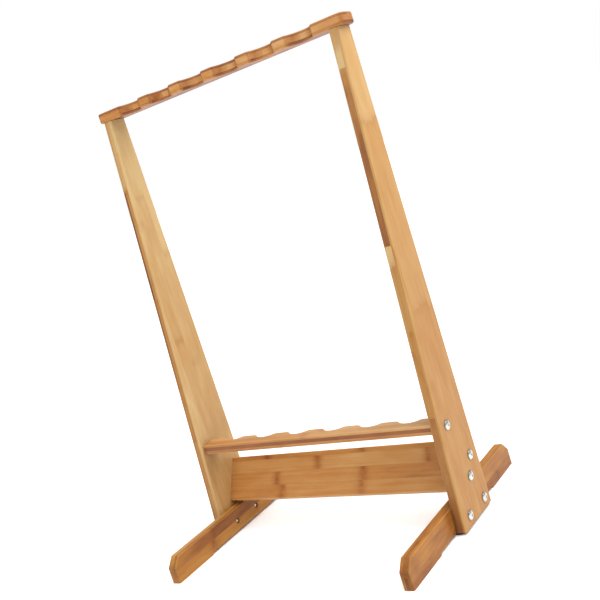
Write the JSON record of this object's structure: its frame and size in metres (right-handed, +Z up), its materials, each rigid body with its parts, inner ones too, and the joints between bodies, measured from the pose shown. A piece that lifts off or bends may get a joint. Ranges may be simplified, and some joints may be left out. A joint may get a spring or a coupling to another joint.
{
  "type": "guitar rack",
  "caption": "Bamboo floor rack: tapered posts on feet, a notched top rail for guitar necks, and a notched lower rail and tilted apron that cradle the bodies.",
  "frame": {"origin": "centre of the footprint on the floor, under the middle of the rails", "axes": "+X along the rails towards the right post, the notches of the top rail face -Y, +Y towards the vertical back edges of the posts, +Z up"},
  "size_m": [0.546, 0.417, 0.8223],
  "materials": {
    "bamboo_posts": "satin clear lacquer over caramelised bamboo strips",
    "bamboo_feet": "satin clear lacquer over caramelised bamboo strips",
    "bamboo_rails": "satin clear lacquer over caramelised bamboo strips",
    "bamboo_apron": "satin clear lacquer over caramelised bamboo strips",
    "zinc_bolts": "bright zinc plating",
    "steel_inserts": "zinc plating",
    "beech_dowels": "bare wood",
    "rubber_glides": "matt"
  },
  "bodies": {
    "root": {"post_left": "bamboo_posts", "post_right": "bamboo_posts", "foot_left": "bamboo_feet", "foot_right": "bamboo_feet", "top_rail": "bamboo_rails", "lower_rail": "bamboo_rails", "apron": "bamboo_apron", "bolt_rail_left": "zinc_bolts", "bolt_apron_upper_left": "zinc_bolts", "bolt_apron_lower_left": "zinc_bolts", "bolt_foot_front_left": "zinc_bolts", "bolt_foot_back_left": "zinc_bolts", "bolt_top_left": "zinc_bolts", "bolt_rail_right": "zinc_bolts", "bolt_apron_upper_right": "zinc_bolts", "bolt_apron_lower_right": "zinc_bolts", "bolt_foot_front_right": "zinc_bolts", "bolt_foot_back_right": "zinc_bolts", "bolt_top_right": "zinc_bolts", "insert_rail_left": "steel_inserts", "insert_apron_upper_left": "steel_inserts", "insert_apron_lower_left": "steel_inserts", "insert_foot_front_left": "steel_inserts", "insert_foot_back_left": "steel_inserts", "insert_top_left": "steel_inserts", "insert_rail_right": "steel_inserts", "insert_apron_upper_right": "steel_inserts", "insert_apron_lower_right": "steel_inserts", "insert_foot_front_right": "steel_inserts", "insert_foot_back_right": "steel_inserts", "insert_top_right": "steel_inserts", "dowel_rail_left": "beech_dowels", "dowel_top_left": "beech_dowels", "dowel_rail_right": "beech_dowels", "dowel_top_right": "beech_dowels", "glide_front_left": "rubber_glides", "glide_back_left": "rubber_glides", "glide_front_right": "rubber_glides", "glide_back_right": "rubber_glides"}
  },
  "joints": []
}
